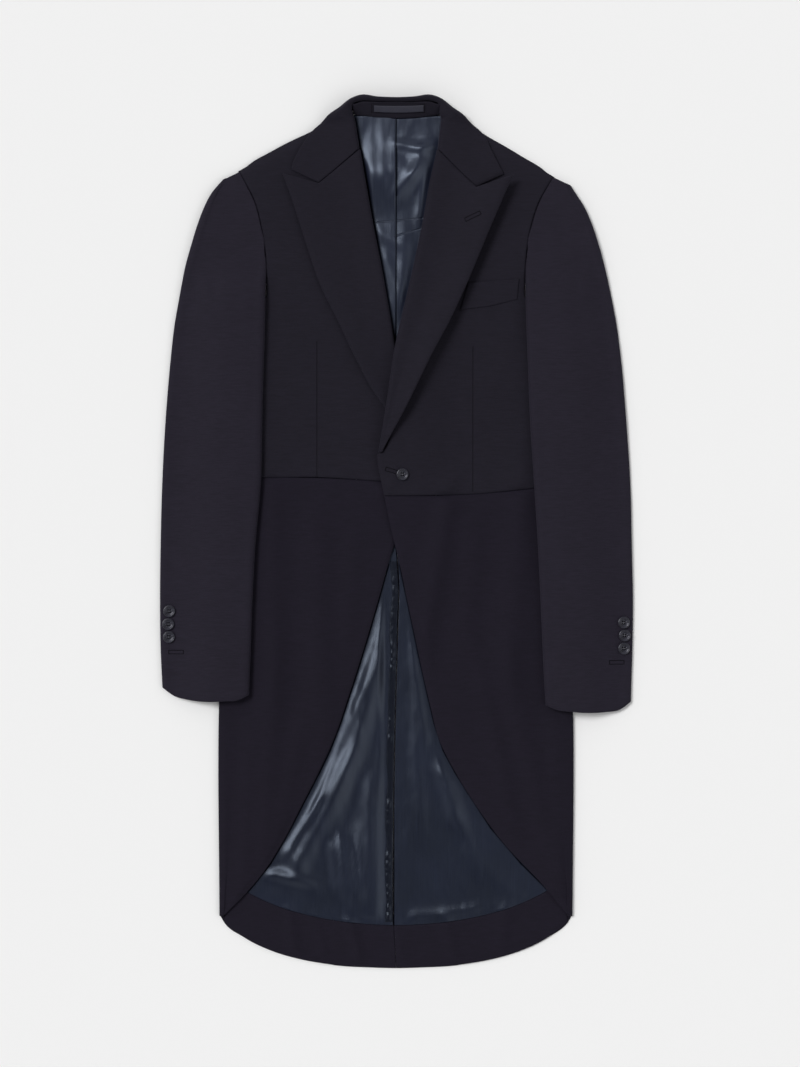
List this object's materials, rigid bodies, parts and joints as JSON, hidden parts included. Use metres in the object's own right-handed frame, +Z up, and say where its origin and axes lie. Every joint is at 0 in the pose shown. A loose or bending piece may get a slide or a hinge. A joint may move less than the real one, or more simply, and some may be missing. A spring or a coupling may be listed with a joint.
{
  "type": "morning coat",
  "caption": "Navy wool morning coat with peak lapels, a single front button, cutaway skirts and satin-lined tails, laid flat on its back with its sleeves at its sides",
  "frame": {"origin": "middle of the footprint, on the surface that the coat lies on", "axes": "+Y towards the collar, +X towards the wearer's left side, +Z up from the surface"},
  "size_m": [0.5743, 1.0597, 0.0198],
  "materials": {
    "wool": "matte fine wool weave",
    "satin": "satin lining",
    "loop": "ribbed tape",
    "button": "satin"
  },
  "bodies": {
    "root": {"back_left": "wool", "back_right": "wool", "breast_welt": "wool", "collar_leaf": "wool", "collar_stand": "wool", "cuff_button_left_1": "button", "cuff_button_left_2": "button", "cuff_button_left_3": "button", "cuff_button_right_1": "button", "cuff_button_right_2": "button", "cuff_button_right_3": "button", "forepart_left": "wool", "forepart_right": "wool", "front_button": "button", "hanger_loop": "loop", "hem_facing_left": "wool", "hem_facing_right": "wool", "lapel_left": "wool", "lapel_right": "wool", "lining_neck_left": "satin", "lining_neck_right": "satin", "lining_tail_left": "satin", "lining_tail_right": "satin", "side_body_left": "wool", "side_body_right": "wool", "skirt_left": "wool", "skirt_right": "wool", "topsleeve_left": "wool", "topsleeve_right": "wool", "undersleeve_left": "wool", "undersleeve_right": "wool", "vent_strip": "wool"}
  },
  "joints": []
}
